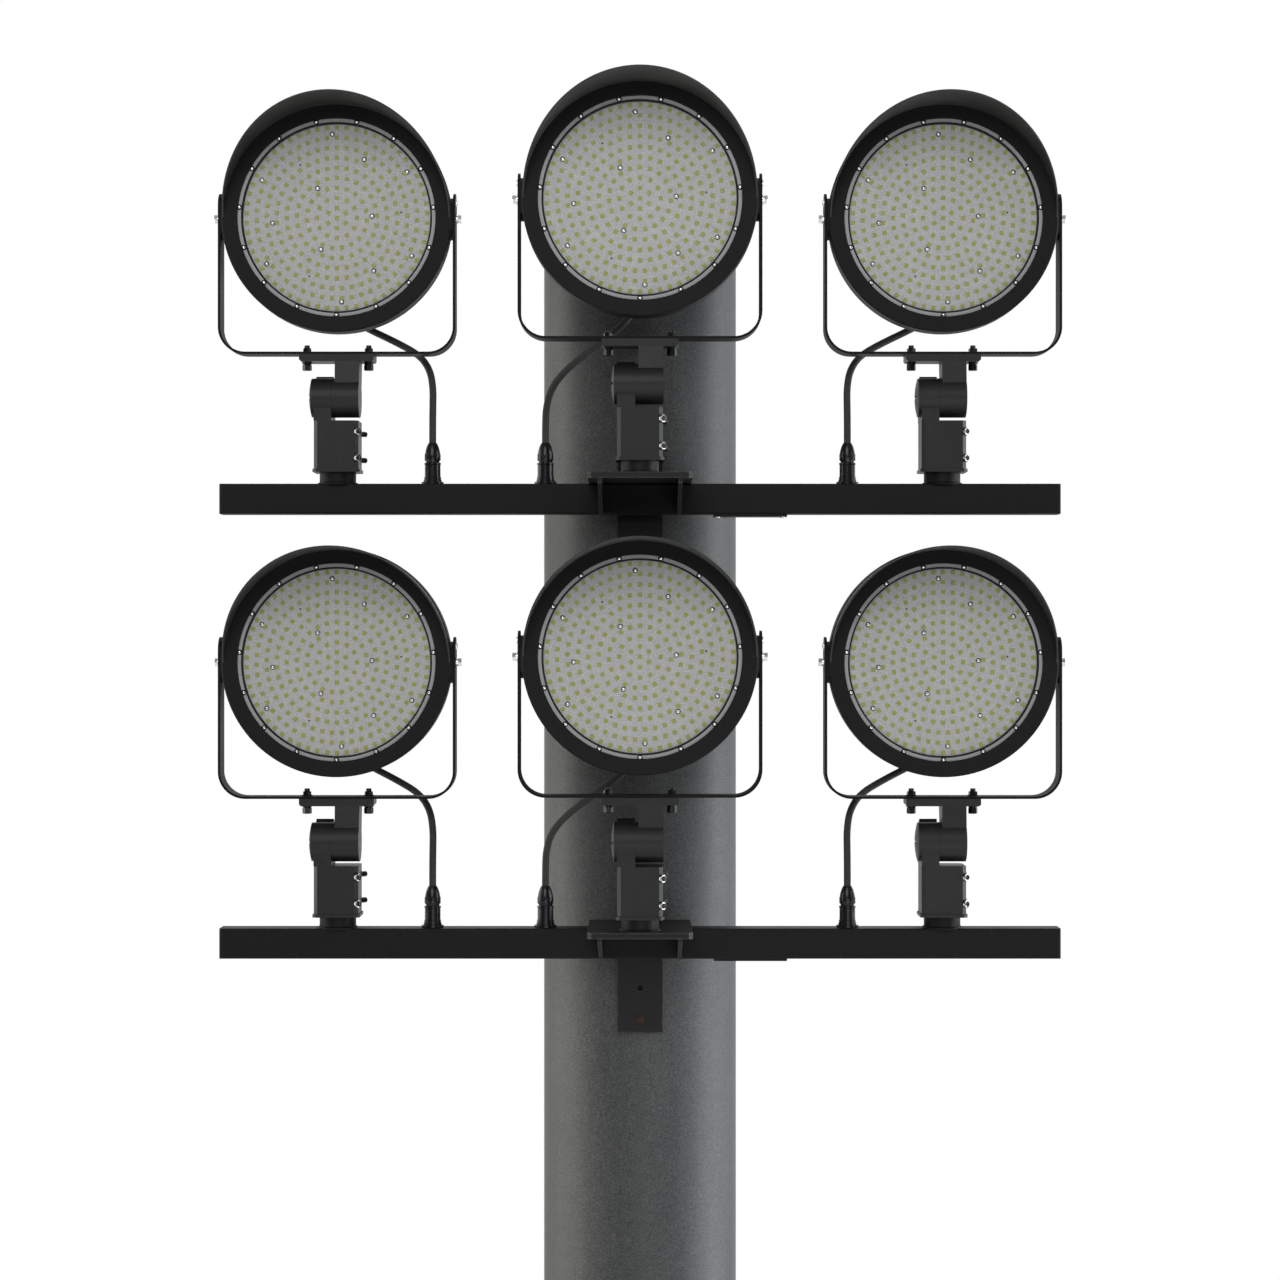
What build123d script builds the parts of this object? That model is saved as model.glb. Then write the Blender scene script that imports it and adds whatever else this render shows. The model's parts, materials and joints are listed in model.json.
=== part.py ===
"""Floodlight mast for a small sports ground: a steel column with two crossarms and six round LED heads.

Millimetres, +Z up. The column stands on the origin, the centre of its base plate's underside. The lamps shine
towards -Y. Each lamp is modelled once, over its own tenon, and then copied to its six places on the crossarms.
"""
import os
from math import cos, pi, radians, sin, tan

from build123d import *

# Column
overall_height = 8000.0
column_diameter = 330.0
column_wall = 8.0
cap_dome = 34.0
cap_edge = 26.0
cap_spigot = 45.0
cap_wall = 8.0
cap_clearance = 0.5

# Base flange
base_side = 520.0
base_thickness = 30.0
base_corner = 24.0
anchor_circle = 540.0
anchor_hole = 36.0
anchor_count = 4
cable_entry = 200.0
stiffener_count = 8
stiffener_height = 150.0
stiffener_reach = 76.0
stiffener_thickness = 12.0
stiffener_toe = 14.0

# Service opening, on the side away from the pitch
service_width = 110.0
service_height = 320.0
service_sill = 600.0
service_corner = 30.0
service_lap = 18.0
service_plate = 3.0

# Crossarms
crossarm_length = 1380.0
crossarm_side = 50.0
crossarm_wall = 3.0
crossarm_corner = 3.0
crossarm_pitch = 733.0
upper_arm_below_top = 480.0
end_cap_plate = 3.0
end_cap_plug = 14.0
lamp_spacing = 500.0
tenon_diameter = 60.3
tenon_height = 95.0

# Wiring cover under each crossarm
cover_length = 121.0
cover_width = 44.0
cover_thickness = 4.0
cover_offset = 182.0
cover_lap = 8.0
cover_chamfer = 1.3

# Centre bracket, which bolts the crossarm to the column and carries the middle lamp in front
spine_width = 76.0
spine_thickness = 10.0
spine_above = 60.0
spine_below = 128.0
spine_hole = 11.0
spine_open_hole_depth = 103.0
spine_bolt_depth = 155.5
spine_upper_hole = 34.0
shelf_width = 168.0
shelf_thickness = 10.0
shelf_corner = 6.0
shelf_lead = 48.0
lamp_lead = 155.0
gusset_thickness = 6.0
gusset_spread = 129.0
gusset_nose = 8.0

# Cable connectors on top of the crossarms
connector_height = 68.4
connector_flange_radius = 14.0
connector_body_radius = 12.0
connector_nut_radius = 12.7
connector_mouth_radius = 6.5
connector_flange_height = 10.5
connector_nut_foot = 35.6
connector_nut_shoulder = 50.0
connector_shank_radius = 8.0
connector_shank = 12.0
connector_seat_clearance = 0.1
connector_side = 343.2
connector_centre = 156.5

# Slip fitter, the casting over each tenon
slip_clearance = 0.5
seat_clearance = 0.3
fitter_rise = 19.0
fitter_flange_side = 77.6
fitter_flange_thickness = 5.2
fitter_side = 73.3
fitter_chamfer = 6.0
fitter_top = 103.4
ear_thickness = 28.8
ear_front_height = 34.5
ear_shoulder = 54.5
ear_rear_height = 75.5
ear_crest_front = 10.0
ear_crest_rear = 27.5
ear_crest_fall = 6.0
ear_back_height = 18.5
knuckle_height = 142.0
knuckle_lead = 10.0
barrel_radius = 32.5
barrel_end = 37.5
barrel_gap = 0.3
spigot_radius = 12.0
spigot_length = 20.0
spigot_clearance = 0.06
knuckle_cap_radius = 32.0
knuckle_cap_rim = 5.0
knuckle_cap_reach = 9.5
knuckle_cap_slot = 4.0
knuckle_cap_slot_depth = 3.0

# Knuckle head, the casting that turns on the slip fitter
neck_left = 2.5
neck_foot_width = 48.0
neck_top_width = 56.0
pad_width = 123.2
pad_depth = 56.0
pad_thickness = 12.0
pad_chamfer = 3.0
pad_height = 201.5
strap_bolt_spacing = 102.0
strap_bolt_hole = 9.0

# Yoke
yoke_width = 391.0
strap_thickness = 4.0
strap_depth = 50.0
yoke_bend = 45.0
pivot_above_strap = 224.9
arm_top = 42.0
pivot_radius = 6.0
pivot_clearance = 0.06
lock_bolt_rise = 27.0
lock_bolt_hole = 9.0

# Lamp head: places along its axis are counted from the pivot, minus towards the lens
head_side_gap = 2.5
bezel_front = -30.0
bezel_back = 14.0
bezel_edge = 1.5
shell_step = 10.0
shell_taper = 7.0
shell_rear = 56.0
drum_radius = 80.0
drum_rear = 118.0
drum_edge = 5.0
bezel_width = 26.0
ring_width = 7.6
ring_thickness = 4.0
ring_recess = 6.0
ring_clearance = 0.5
board_thickness = 5.0
board_recess = 8.0
board_clearance = 0.5
boss_radius = 34.5
boss_clearance = 0.3
boss_sink = 17.0
boss_setback = 2.0
fin_count = 20
fin_thickness = 3.5
fin_rear = 80.0
fin_inset = 12.0
fin_shoulder = 14.0
fin_root = 3.0
gland_radius = 9.5
gland_mouth_radius = 8.0
gland_place = 87.0
gland_step = 88.0
gland_reach = 102.4

# Visor over each lens
visor_depth = 118.0
visor_sheet = 2.5
visor_root_inset = 1.5

# Lamp cables
cable_diameter = 10.0
bend_share = 0.45

# Worked out from the sizes above
column_radius = column_diameter / 2
column_top = overall_height - cap_dome
arm_y = -(column_radius + spine_thickness + crossarm_side / 2)
upper_arm_top = overall_height - upper_arm_below_top
arm_tops = {"upper": upper_arm_top, "lower": upper_arm_top - crossarm_pitch}
strap_underside = pad_height + pad_thickness
pivot_height = strap_underside + pivot_above_strap
split_plane = -fitter_side / 2 + ear_thickness
knuckle_y = -knuckle_lead
head_radius = yoke_width / 2 - strap_thickness - head_side_gap
shell_front_radius = head_radius - shell_step
shell_rear_radius = shell_front_radius - shell_taper
fin_radius = shell_rear_radius - fin_inset
boss_root = head_radius - boss_sink
ring_radius = head_radius - bezel_width
ring_inner_radius = ring_radius - ring_width
visor_root_radius = head_radius - visor_root_inset
visor_tip_radius = head_radius
ring_seat = bezel_front + ring_recess + ring_thickness
board_seat = ring_seat + board_recess
head_axis = Axis((0, 0, pivot_height), (0, 1, 0))
head_section = Plane(origin=(0, 0, pivot_height), x_dir=(0, 1, 0), z_dir=(1, 0, 0))

os.makedirs("parts", exist_ok=True)


def save(builder, name):
    """Labels a finished piece and writes it to its own file."""
    builder.part.label = name
    export_step(builder.part, f"parts/{name}.step")


# Column, open at the foot for the supply cables, with the service opening at its back
with BuildPart() as column:
    with BuildSketch(Plane.XY.offset(base_thickness)):
        Circle(column_radius)
        Circle(column_radius - column_wall, mode=Mode.SUBTRACT)
    extrude(amount=column_top - base_thickness)
    with BuildSketch(Plane.XZ):
        with Locations((0, service_sill + service_height / 2)):
            RectangleRounded(service_width, service_height, service_corner)
    extrude(amount=-column_diameter, mode=Mode.SUBTRACT)
save(column, "column")

with BuildPart() as column_cap:
    with BuildSketch(Plane.XY.offset(column_top)):
        Circle(column_radius)
    extrude(amount=cap_dome)
    fillet(column_cap.edges().sort_by(Axis.Z)[-1], cap_edge)
    with BuildSketch(Plane.XY.offset(column_top - cap_spigot)):
        Circle(column_radius - column_wall - cap_clearance)
        Circle(column_radius - column_wall - cap_clearance - cap_wall, mode=Mode.SUBTRACT)
    extrude(amount=cap_spigot)
save(column_cap, "column_cap")

# Base flange with its stiffeners
with BuildPart() as base_flange:
    with BuildSketch():
        RectangleRounded(base_side, base_side, base_corner)
        Circle(cable_entry / 2, mode=Mode.SUBTRACT)
        with PolarLocations(anchor_circle / 2, anchor_count, start_angle=180 / anchor_count):
            Circle(anchor_hole / 2, mode=Mode.SUBTRACT)
    extrude(amount=base_thickness)
    for index in range(stiffener_count):
        heading = 360 / stiffener_count * (index + 0.5)
        web = Plane(
            origin=(0, 0, base_thickness),
            x_dir=(cos(radians(heading)), sin(radians(heading)), 0),
            z_dir=(sin(radians(heading)), -cos(radians(heading)), 0),
        )
        with BuildSketch(web):
            with BuildLine():
                foot = column_radius + seat_clearance
                Polyline(
                    (foot, 0),
                    (foot + stiffener_reach, 0),
                    (foot + stiffener_reach, stiffener_toe),
                    (foot + stiffener_toe, stiffener_height),
                    (foot, stiffener_height),
                    close=True,
                )
            make_face()
        extrude(amount=stiffener_thickness / 2, both=True)
save(base_flange, "base_flange")

# Curved plate over the service opening
with BuildPart() as service_cover:
    with BuildSketch(Plane.XY.offset(service_sill - service_lap)):
        Circle(column_radius + seat_clearance + service_plate)
        Circle(column_radius + seat_clearance, mode=Mode.SUBTRACT)
    extrude(amount=service_height + 2 * service_lap)
    with BuildSketch(Plane.XZ):
        with Locations((0, service_sill + service_height / 2)):
            RectangleRounded(
                service_width + 2 * service_lap, service_height + 2 * service_lap, service_corner
            )
    extrude(amount=-column_diameter, mode=Mode.INTERSECT)
save(service_cover, "service_cover")

connector_places = (-connector_side, -connector_centre, connector_side)

for row, arm_top_z in arm_tops.items():
    arm_centre_z = arm_top_z - crossarm_side / 2

    # Square tube with a tenon welded on it for each side lamp
    with BuildPart() as crossarm:
        with BuildSketch(Plane.YZ.offset(-crossarm_length / 2)):
            with Locations((arm_y, arm_centre_z)):
                RectangleRounded(crossarm_side, crossarm_side, crossarm_corner)
                hollow = crossarm_side - 2 * crossarm_wall
                Rectangle(hollow, hollow, mode=Mode.SUBTRACT)
        extrude(amount=crossarm_length)
        with BuildSketch(Plane.XY.offset(arm_top_z)):
            with Locations((-lamp_spacing, arm_y), (lamp_spacing, arm_y)):
                Circle(tenon_diameter / 2)
        extrude(amount=tenon_height)
        with BuildSketch(Plane.XY.offset(arm_top_z)):
            with Locations(*[(x, arm_y) for x in connector_places]):
                Circle(connector_shank_radius + connector_seat_clearance)
        extrude(amount=-crossarm_wall, mode=Mode.SUBTRACT)
        with BuildSketch(Plane.XY.offset(arm_top_z - crossarm_side)):
            with Locations((cover_offset, arm_y)):
                Rectangle(cover_length - 2 * cover_lap, cover_width - 2 * cover_lap)
        extrude(amount=crossarm_wall, mode=Mode.SUBTRACT)
    save(crossarm, f"{row}_crossarm")

    # Weldment in the middle: spine against the column, shelf over the crossarm, gussets and tenon
    with BuildPart() as centre_bracket:
        spine_foot = arm_top_z - crossarm_side - spine_below
        with BuildSketch(Plane.XY.offset(spine_foot)):
            with Locations((0, -column_radius)):
                Rectangle(spine_width, 2 * spine_thickness)
            Circle(column_radius, mode=Mode.SUBTRACT)
        extrude(amount=arm_top_z + spine_above - spine_foot)
        shelf_front = arm_y - lamp_lead - shelf_lead
        shelf_back = arm_y + crossarm_side / 2
        with BuildSketch(Plane.XY.offset(arm_top_z)):
            with Locations((0, (shelf_front + shelf_back) / 2)):
                Rectangle(shelf_width, shelf_back - shelf_front)
            chamfer(vertices().sort_by(Axis.Y)[:2], shelf_corner)
        extrude(amount=shelf_thickness)
        with BuildSketch(Plane.YZ):
            with BuildLine():
                arm_front = arm_y - crossarm_side / 2
                Polyline(
                    (arm_front, arm_top_z),
                    (shelf_front + shelf_corner, arm_top_z),
                    (shelf_front + shelf_corner, arm_top_z - gusset_nose),
                    (arm_front - gusset_nose, arm_top_z - crossarm_side),
                    (arm_front, arm_top_z - crossarm_side),
                    close=True,
                )
            make_face()
        extrude(amount=(gusset_spread + gusset_thickness) / 2, both=True)
        with BuildSketch(Plane.XY.offset(arm_top_z)):
            with Locations((0, (shelf_front + arm_front) / 2)):
                Rectangle(gusset_spread - gusset_thickness, arm_front - shelf_front)
        extrude(amount=-crossarm_side, mode=Mode.SUBTRACT)
        with BuildSketch(Plane.XY.offset(arm_top_z + shelf_thickness)):
            with Locations((0, arm_y - lamp_lead)):
                Circle(tenon_diameter / 2)
        extrude(amount=tenon_height)
        with BuildSketch(Plane.XZ):
            with Locations(
                (0, arm_top_z + spine_upper_hole),
                (0, arm_top_z - spine_open_hole_depth),
                (0, arm_top_z - spine_bolt_depth),
            ):
                Circle(spine_hole / 2)
        extrude(amount=-(arm_y + crossarm_side / 2 - spine_thickness), mode=Mode.SUBTRACT)
    save(centre_bracket, f"{row}_centre_bracket")

    # Cable connectors, with their shanks through the top wall of the crossarm
    with BuildPart() as connectors:
        for x in connector_places:
            with BuildSketch(Plane(origin=(x, arm_y, arm_top_z), x_dir=(1, 0, 0), z_dir=(0, -1, 0))):
                with BuildLine():
                    Polyline(
                        (0, -connector_shank),
                        (connector_shank_radius, -connector_shank),
                        (connector_shank_radius, 0),
                        (connector_flange_radius, 0),
                        (connector_flange_radius, connector_flange_height),
                        (connector_body_radius, connector_flange_height),
                        (connector_body_radius, connector_nut_foot),
                        (connector_nut_radius, connector_nut_foot),
                        (connector_nut_radius, connector_nut_shoulder),
                        (connector_mouth_radius, connector_height),
                        (0, connector_height),
                        close=True,
                    )
                make_face()
            revolve(axis=Axis((x, arm_y, arm_top_z), (0, 0, 1)))
    save(connectors, f"{row}_connectors")

# Caps that plug the four ends of the crossarms
with BuildPart() as end_caps:
    for arm_top_z in arm_tops.values():
        for side in (-1, 1):
            end_plane = Plane(
                origin=(side * crossarm_length / 2, arm_y, arm_top_z - crossarm_side / 2),
                x_dir=(0, side, 0),
                z_dir=(side, 0, 0),
            )
            with BuildSketch(end_plane):
                RectangleRounded(crossarm_side, crossarm_side, crossarm_corner)
            extrude(amount=end_cap_plate)
            with BuildSketch(end_plane):
                plug = crossarm_side - 2 * crossarm_wall - 2 * cap_clearance
                Rectangle(plug, plug)
            extrude(amount=-end_cap_plug)
save(end_caps, "crossarm_end_caps")

with BuildPart() as wiring_covers:
    for arm_top_z in arm_tops.values():
        with BuildSketch(Plane.XY.offset(arm_top_z - crossarm_side)):
            with Locations((cover_offset, arm_y)):
                Rectangle(cover_length, cover_width)
        extrude(amount=-cover_thickness)
    chamfer(wiring_covers.faces().group_by(Axis.Z)[0].edges(), cover_chamfer)
save(wiring_covers, "wiring_covers")

# Slip fitter: square socket over the tenon, with the fixed ear and half of the knuckle's barrel
with BuildPart() as slip_fitter:
    with BuildSketch(Plane.XY.offset(fitter_rise)):
        Rectangle(fitter_flange_side, fitter_flange_side)
        chamfer(vertices(), fitter_chamfer)
    extrude(amount=fitter_flange_thickness)
    with BuildSketch(Plane.XY.offset(fitter_rise)):
        Rectangle(fitter_side, fitter_side)
        chamfer(vertices(), fitter_chamfer)
    extrude(amount=fitter_top - fitter_rise)
    with BuildSketch(Plane.YZ.offset(-fitter_side / 2)):
        with BuildLine():
            half = fitter_side / 2
            Polyline(
                (-half, fitter_top),
                (-half, fitter_top + ear_front_height),
                (knuckle_y, fitter_top + ear_shoulder),
                (ear_crest_front, fitter_top + ear_rear_height),
                (ear_crest_rear, fitter_top + ear_rear_height - ear_crest_fall),
                (half, fitter_top + ear_back_height),
                (half, fitter_top),
                close=True,
            )
        make_face()
        with Locations((knuckle_y, knuckle_height)):
            Circle(barrel_radius)
    extrude(amount=ear_thickness)
    with BuildSketch(Plane.YZ.offset(split_plane)):
        with Locations((knuckle_y, knuckle_height)):
            Circle(spigot_radius)
    extrude(amount=spigot_length)
    ear_face = -fitter_side / 2
    with BuildSketch(Plane.XY.offset(knuckle_height)):
        with BuildLine():
            cap_edge_line = Polyline(
                (ear_face - knuckle_cap_reach, knuckle_y),
                (ear_face, knuckle_y),
                (ear_face, knuckle_y - knuckle_cap_radius),
                (ear_face - knuckle_cap_rim, knuckle_y - knuckle_cap_radius),
            )
            TangentArc(cap_edge_line @ 0, cap_edge_line @ 1, tangent=(0, -1))
        make_face()
    revolve(axis=Axis((0, knuckle_y, knuckle_height), (1, 0, 0)))
    with BuildSketch(Plane.YZ.offset(ear_face - knuckle_cap_reach)):
        with Locations((knuckle_y, knuckle_height)):
            Rectangle(2 * knuckle_cap_radius, knuckle_cap_slot)
    extrude(amount=knuckle_cap_slot_depth, mode=Mode.SUBTRACT)
    with BuildSketch(Plane.XY.offset(fitter_rise)):
        Circle(tenon_diameter / 2 + slip_clearance)
    extrude(amount=tenon_height + seat_clearance - fitter_rise, mode=Mode.SUBTRACT)

# Knuckle head: the other half of the barrel, its neck and the pad that carries the yoke
with BuildPart() as knuckle_head:
    with BuildSketch(Plane.YZ.offset(split_plane + barrel_gap)):
        with Locations((knuckle_y, knuckle_height)):
            Circle(barrel_radius)
    extrude(amount=barrel_end - split_plane - barrel_gap)
    with BuildSketch(Plane.YZ.offset(-neck_left)):
        with BuildLine():
            Polyline(
                (knuckle_y - neck_foot_width / 2, knuckle_height),
                (-neck_top_width / 2, pad_height),
                (neck_top_width / 2, pad_height),
                (knuckle_y + neck_foot_width / 2, knuckle_height),
                close=True,
            )
        make_face()
    extrude(amount=neck_left + barrel_end)
    with BuildSketch(Plane.XY.offset(pad_height)):
        Rectangle(pad_width, pad_depth)
    extrude(amount=pad_thickness)
    underside = knuckle_head.edges().filter_by(Axis.Y).filter_by_position(
        Axis.Z, pad_height - seat_clearance, pad_height + seat_clearance
    )
    chamfer([underside.sort_by(Axis.X)[0], underside.sort_by(Axis.X)[-1]], pad_chamfer)
    with BuildSketch(Plane.XY.offset(pad_height)):
        with Locations((-strap_bolt_spacing / 2, 0), (strap_bolt_spacing / 2, 0)):
            Circle(strap_bolt_hole / 2)
    extrude(amount=pad_thickness, mode=Mode.SUBTRACT)
    with BuildSketch(Plane.YZ.offset(split_plane)):
        with Locations((knuckle_y, knuckle_height)):
            Circle(spigot_radius + spigot_clearance)
    extrude(amount=spigot_length + barrel_gap, mode=Mode.SUBTRACT)

# Yoke: one bent strap, with rounded arms drilled for the pivot and the lock bolt
with BuildPart() as yoke:
    arm_shoulder = pivot_height + arm_top - strap_depth / 2
    with BuildSketch(Plane.XZ):
        with Locations((0, (strap_underside + arm_shoulder) / 2)):
            outline = Rectangle(yoke_width, arm_shoulder - strap_underside)
        fillet(vertices().sort_by(Axis.Y)[:2], yoke_bend)
        with BuildSketch(Plane.XZ, mode=Mode.SUBTRACT):
            with Locations((0, (strap_underside + strap_thickness + arm_shoulder) / 2)):
                Rectangle(yoke_width - 2 * strap_thickness, arm_shoulder - strap_underside - strap_thickness)
            fillet(vertices().sort_by(Axis.Y)[:2], yoke_bend - strap_thickness)
    extrude(amount=strap_depth / 2, both=True)
    for side in (-1, 1):
        arm_face = Plane(
            origin=(side * (yoke_width / 2 - strap_thickness), 0, pivot_height),
            x_dir=(0, side, 0),
            z_dir=(side, 0, 0),
        )
        with BuildSketch(arm_face):
            with Locations((0, arm_top - strap_depth / 2)):
                Circle(strap_depth / 2)
        extrude(amount=strap_thickness)
        with BuildSketch(arm_face):
            Circle(pivot_radius + pivot_clearance)
            with Locations((0, lock_bolt_rise)):
                Circle(lock_bolt_hole / 2)
        extrude(amount=strap_thickness, mode=Mode.SUBTRACT)
    with BuildSketch(Plane.XY.offset(strap_underside)):
        with Locations((-strap_bolt_spacing / 2, 0), (strap_bolt_spacing / 2, 0)):
            Circle(strap_bolt_hole / 2)
    extrude(amount=strap_thickness, mode=Mode.SUBTRACT)

# Die-cast head: bezel, shell, driver drum, cooling fins, pivot bosses and cable gland
with BuildPart() as housing:
    with BuildSketch(head_section):
        with BuildLine():
            board_wall = ring_inner_radius - board_clearance
            Polyline(
                (board_seat, 0),
                (board_seat, board_wall),
                (ring_seat, board_wall),
                (ring_seat, ring_radius + ring_clearance),
                (bezel_front, ring_radius + ring_clearance),
                (bezel_front, head_radius - bezel_edge),
                (bezel_front + bezel_edge, head_radius),
                (bezel_back, head_radius),
                (bezel_back, shell_front_radius),
                (shell_rear, shell_rear_radius),
                (shell_rear, drum_radius),
                (drum_rear - drum_edge, drum_radius),
                (drum_rear, drum_radius - drum_edge),
                (drum_rear, 0),
                close=True,
            )
        make_face()
    revolve(axis=head_axis)
    for index in range(fin_count):
        heading = radians(360 / fin_count * (index + 0.5))
        fin_plane = Plane(
            origin=(0, 0, pivot_height),
            x_dir=(0, 1, 0),
            z_dir=(cos(heading), 0, sin(heading)),
        )
        with BuildSketch(fin_plane):
            with BuildLine():
                Polyline(
                    (shell_rear - fin_root, drum_radius - fin_root),
                    (fin_rear, drum_radius - fin_root),
                    (fin_rear, fin_radius - 2 * fin_shoulder),
                    (fin_rear - fin_shoulder, fin_radius),
                    (shell_rear - fin_root, fin_radius),
                    close=True,
                )
            make_face()
        extrude(amount=fin_thickness / 2, both=True)
    for side in (-1, 1):
        boss_plane = Plane(
            origin=(side * boss_root, 0, pivot_height), x_dir=(0, side, 0), z_dir=(side, 0, 0)
        )
        boss_face = yoke_width / 2 - strap_thickness - boss_clearance
        with BuildSketch(boss_plane):
            Circle(boss_radius)
            with Locations((side * (bezel_front + boss_setback - boss_radius), 0)):
                Rectangle(2 * boss_radius, 2 * boss_radius, mode=Mode.SUBTRACT)
        extrude(amount=boss_face - boss_root)
        with BuildSketch(boss_plane):
            Circle(pivot_radius)
        extrude(amount=yoke_width / 2 - boss_root)
    with BuildSketch(Plane.XY.offset(pivot_height - drum_radius + drum_edge)):
        with Locations((0, gland_place)):
            Circle(gland_radius)
    extrude(amount=drum_radius - drum_edge - gland_step)
    with BuildSketch(Plane.XY.offset(pivot_height - gland_step)):
        with Locations((0, gland_place)):
            Circle(gland_mouth_radius)
    extrude(amount=gland_step - gland_reach)

# Visor: a sheet that is deepest over the top of the lens and dies away at its sides
with BuildPart() as visor:
    visor_front = bezel_front - visor_depth
    with BuildSketch(head_section):
        with BuildLine():
            Polyline(
                (bezel_front, visor_root_radius - visor_sheet),
                (visor_front, visor_tip_radius - visor_sheet),
                (visor_front, visor_tip_radius),
                (bezel_front, visor_root_radius),
                close=True,
            )
        make_face()
    revolve(axis=head_axis)
    with BuildSketch(head_section):
        with BuildLine():
            Polyline(
                (bezel_front, 0),
                (visor_front, visor_tip_radius),
                (visor_front, visor_tip_radius + visor_sheet),
                (bezel_front, visor_tip_radius + visor_sheet),
                close=True,
            )
        make_face()
    extrude(amount=visor_tip_radius + visor_sheet, both=True, mode=Mode.INTERSECT)

with BuildPart() as lens_ring:
    with BuildSketch(Plane.XZ.offset(-ring_seat)):
        with Locations((0, pivot_height)):
            Circle(ring_radius)
            Circle(ring_inner_radius, mode=Mode.SUBTRACT)
    extrude(amount=ring_thickness)

with BuildPart() as led_board:
    with BuildSketch(Plane.XZ.offset(-board_seat)):
        with Locations((0, pivot_height)):
            Circle(ring_inner_radius - 2 * board_clearance)
    extrude(amount=board_thickness)

# Cable routes over one tenon, from the lamp's gland to the mouth of its connector on the crossarm
side_route = [
    (0, gland_place, pivot_height - gland_reach),
    (0, gland_place, 306),
    (14, 83, 279),
    (44, 74, 258),
    (84, 63, 237),
    (121, 51, 215),
    (145, 35, 189),
    (155, 16, 160),
    (157, 2, 127),
    (lamp_spacing - connector_side, 0, 98),
    (lamp_spacing - connector_side, 0, connector_height),
]
centre_route = [
    (0, gland_place, pivot_height - gland_reach),
    (0, gland_place, 307),
    (-5, 88, 278),
    (-23, 91, 252),
    (-53, 97, 228),
    (-87, 106, 203),
    (-120, 118, 178),
    (-145, 135, 150),
    (-155, 148, 119),
    (-connector_centre, lamp_lead, 88),
    (-connector_centre, lamp_lead, connector_height - shelf_thickness),
]


def bend_radii(route):
    """Radius for each inner corner of a route: as large as its two runs allow."""
    points = [Vector(point) for point in route]
    radii = []
    for before, corner, after in zip(points, points[1:], points[2:]):
        turn = (corner - before).get_angle(after - corner)
        run = min((corner - before).length, (after - corner).length)
        radii.append(bend_share * run / tan(radians(turn / 2)))
    return radii


def cable(route):
    """A plain tube along a route, its straight runs joined by tangent arcs."""
    radii = bend_radii(route)
    print("cable bends", [round(radius) for radius in radii])
    with BuildPart() as tube:
        with BuildLine():
            path = FilletPolyline(*route, radius=radii)
        with BuildSketch(Plane(origin=path @ 0, z_dir=path % 0)):
            Circle(cable_diameter / 2)
        sweep(path=path)
    full_volume = pi * (cable_diameter / 2) ** 2 * path.length
    print("cable length", round(path.length, 1), "share of its full volume", tube.part.volume / full_volume)
    return tube


lamp_pieces = {
    "slip_fitter": slip_fitter,
    "knuckle_head": knuckle_head,
    "yoke": yoke,
    "housing": housing,
    "visor": visor,
    "lens_ring": lens_ring,
    "led_board": led_board,
}
mirrored_route = [(-x, y, z) for x, y, z in side_route]
columns = {
    "left": ((-lamp_spacing, arm_y, 0), cable(side_route)),
    "centre": ((0, arm_y - lamp_lead, shelf_thickness), cable(centre_route)),
    "right": ((lamp_spacing, arm_y, 0), cable(mirrored_route)),
}

# Every lamp in its place: the same pieces over each tenon, and the cable that reaches its own connector
for row, arm_top_z in arm_tops.items():
    for column_name, ((x, y, rise), lamp_cable) in columns.items():
        for piece_name, piece in {**lamp_pieces, "cable": lamp_cable}.items():
            with BuildPart() as placed:
                with Locations((x, y, arm_top_z + rise)):
                    add(piece.part)
            save(placed, f"{row}_{column_name}_{piece_name}")
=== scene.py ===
# %% [markdown]
# Dressing a floodlight mast. The steelwork, the castings and every moving piece come packed from the solid model.
# This lesson adds what a fitter and a painter add: bolts, screws, light-emitting chips, front glass, weld beads,
# cables, and a finish for every surface. Everything is in metres, +Z is up, and the lamps shine towards -Y.

# %% Load the frame
import json
import math

import bmesh
import bpy
from mathutils import Matrix, Vector


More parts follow.
